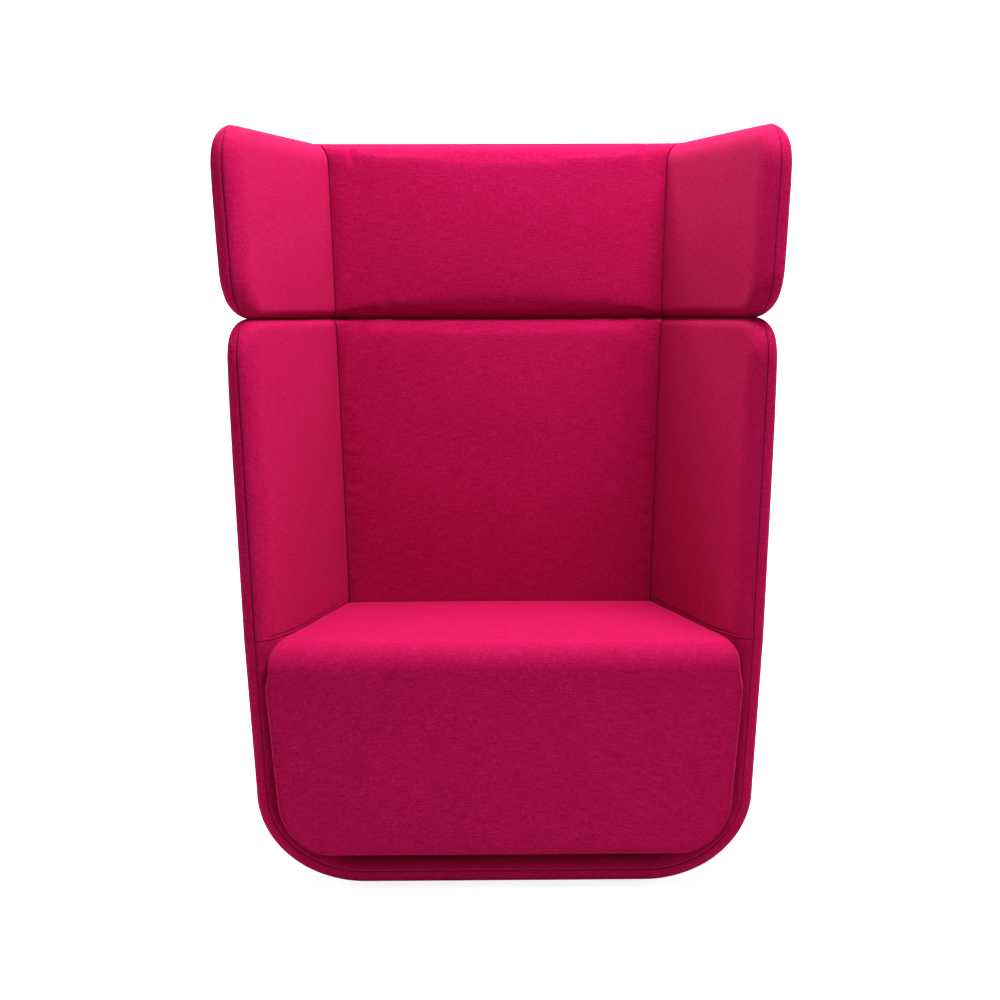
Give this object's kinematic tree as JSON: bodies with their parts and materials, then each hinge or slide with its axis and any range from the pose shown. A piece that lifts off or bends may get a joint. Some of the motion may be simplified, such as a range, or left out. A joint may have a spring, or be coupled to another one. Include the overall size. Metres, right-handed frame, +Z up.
{
  "type": "acoustic high back lounge chair",
  "caption": "High back lounge chair with an upholstered tub, tall side walls and forward wings that shelter the sitter, a block seat and hidden levelling glides.",
  "frame": {"origin": "middle of the chair's footprint box at floor level, under the soles of the glides", "axes": "+Z up, the seat faces -Y, +X to the right for someone looking at the front of the chair"},
  "size_m": [1.0026, 0.7318, 1.327],
  "materials": {
    "wool": "matte",
    "foam": "matte",
    "webbing": "matte",
    "base_cloth": "matte",
    "plywood": "satin",
    "beech": "satin",
    "zinc_steel": "satin",
    "nylon": "matte"
  },
  "bodies": {
    "chair": {"tub_cover": "wool", "underside_cloth": "base_cloth", "rim_lining": "wool", "base_board": "plywood", "tub_side_board_left": "plywood", "tub_side_board_right": "plywood", "tub_side_pads": "foam", "tub_back_board": "plywood", "bent_corner_left": "plywood", "bent_corner_right": "plywood", "tub_corner_strips": "beech", "front_bulkhead": "plywood", "rear_bulkhead": "plywood", "front_rail": "beech", "rear_rail": "beech", "side_rails": "beech", "corner_blocks": "beech", "webbing_lengthwise": "webbing", "webbing_crosswise": "webbing", "seat_foam": "foam", "seat_topper": "foam", "seat_cover": "wool", "seat_front_board": "plywood", "seat_front_spacers": "beech", "wall_link_bars": "zinc_steel", "wall_board_left": "plywood", "wall_board_right": "plywood", "wall_back_board": "plywood", "wall_corner_strips": "beech", "wall_foam_left": "foam", "wall_foam_right": "foam", "back_foam": "foam", "wall_pad_left": "wool", "wall_pad_right": "wool", "back_pad": "wool", "wall_cover_left": "wool", "wall_cover_right": "wool", "wall_cover_back": "wool", "head_link_bars": "zinc_steel", "link_screws": "zinc_steel", "wing_board_left": "plywood", "wing_board_right": "plywood", "head_back_board": "plywood", "head_corner_strips": "beech", "wing_foam_left": "foam", "wing_foam_right": "foam", "head_foam": "foam", "wing_pad_left": "wool", "wing_pad_right": "wool", "head_pad": "wool", "wing_cover_left": "wool", "wing_cover_right": "wool", "head_cover_back": "wool", "glide_inserts": "zinc_steel"},
    "glide_front_left": {"glide_front_left": "nylon"},
    "glide_front_right": {"glide_front_right": "nylon"},
    "glide_rear_left": {"glide_rear_left": "nylon"},
    "glide_rear_right": {"glide_rear_right": "nylon"}
  },
  "joints": [
    {"name": "front_left_levelling", "type": "slide", "parent": "chair", "child": "glide_front_left", "axis": [0, 0, -1], "range_m": [0, 0.01]},
    {"name": "front_right_levelling", "type": "slide", "parent": "chair", "child": "glide_front_right", "axis": [0, 0, -1], "range_m": [0, 0.01]},
    {"name": "rear_left_levelling", "type": "slide", "parent": "chair", "child": "glide_rear_left", "axis": [0, 0, -1], "range_m": [0, 0.01]},
    {"name": "rear_right_levelling", "type": "slide", "parent": "chair", "child": "glide_rear_right", "axis": [0, 0, -1], "range_m": [0, 0.01]}
  ]
}
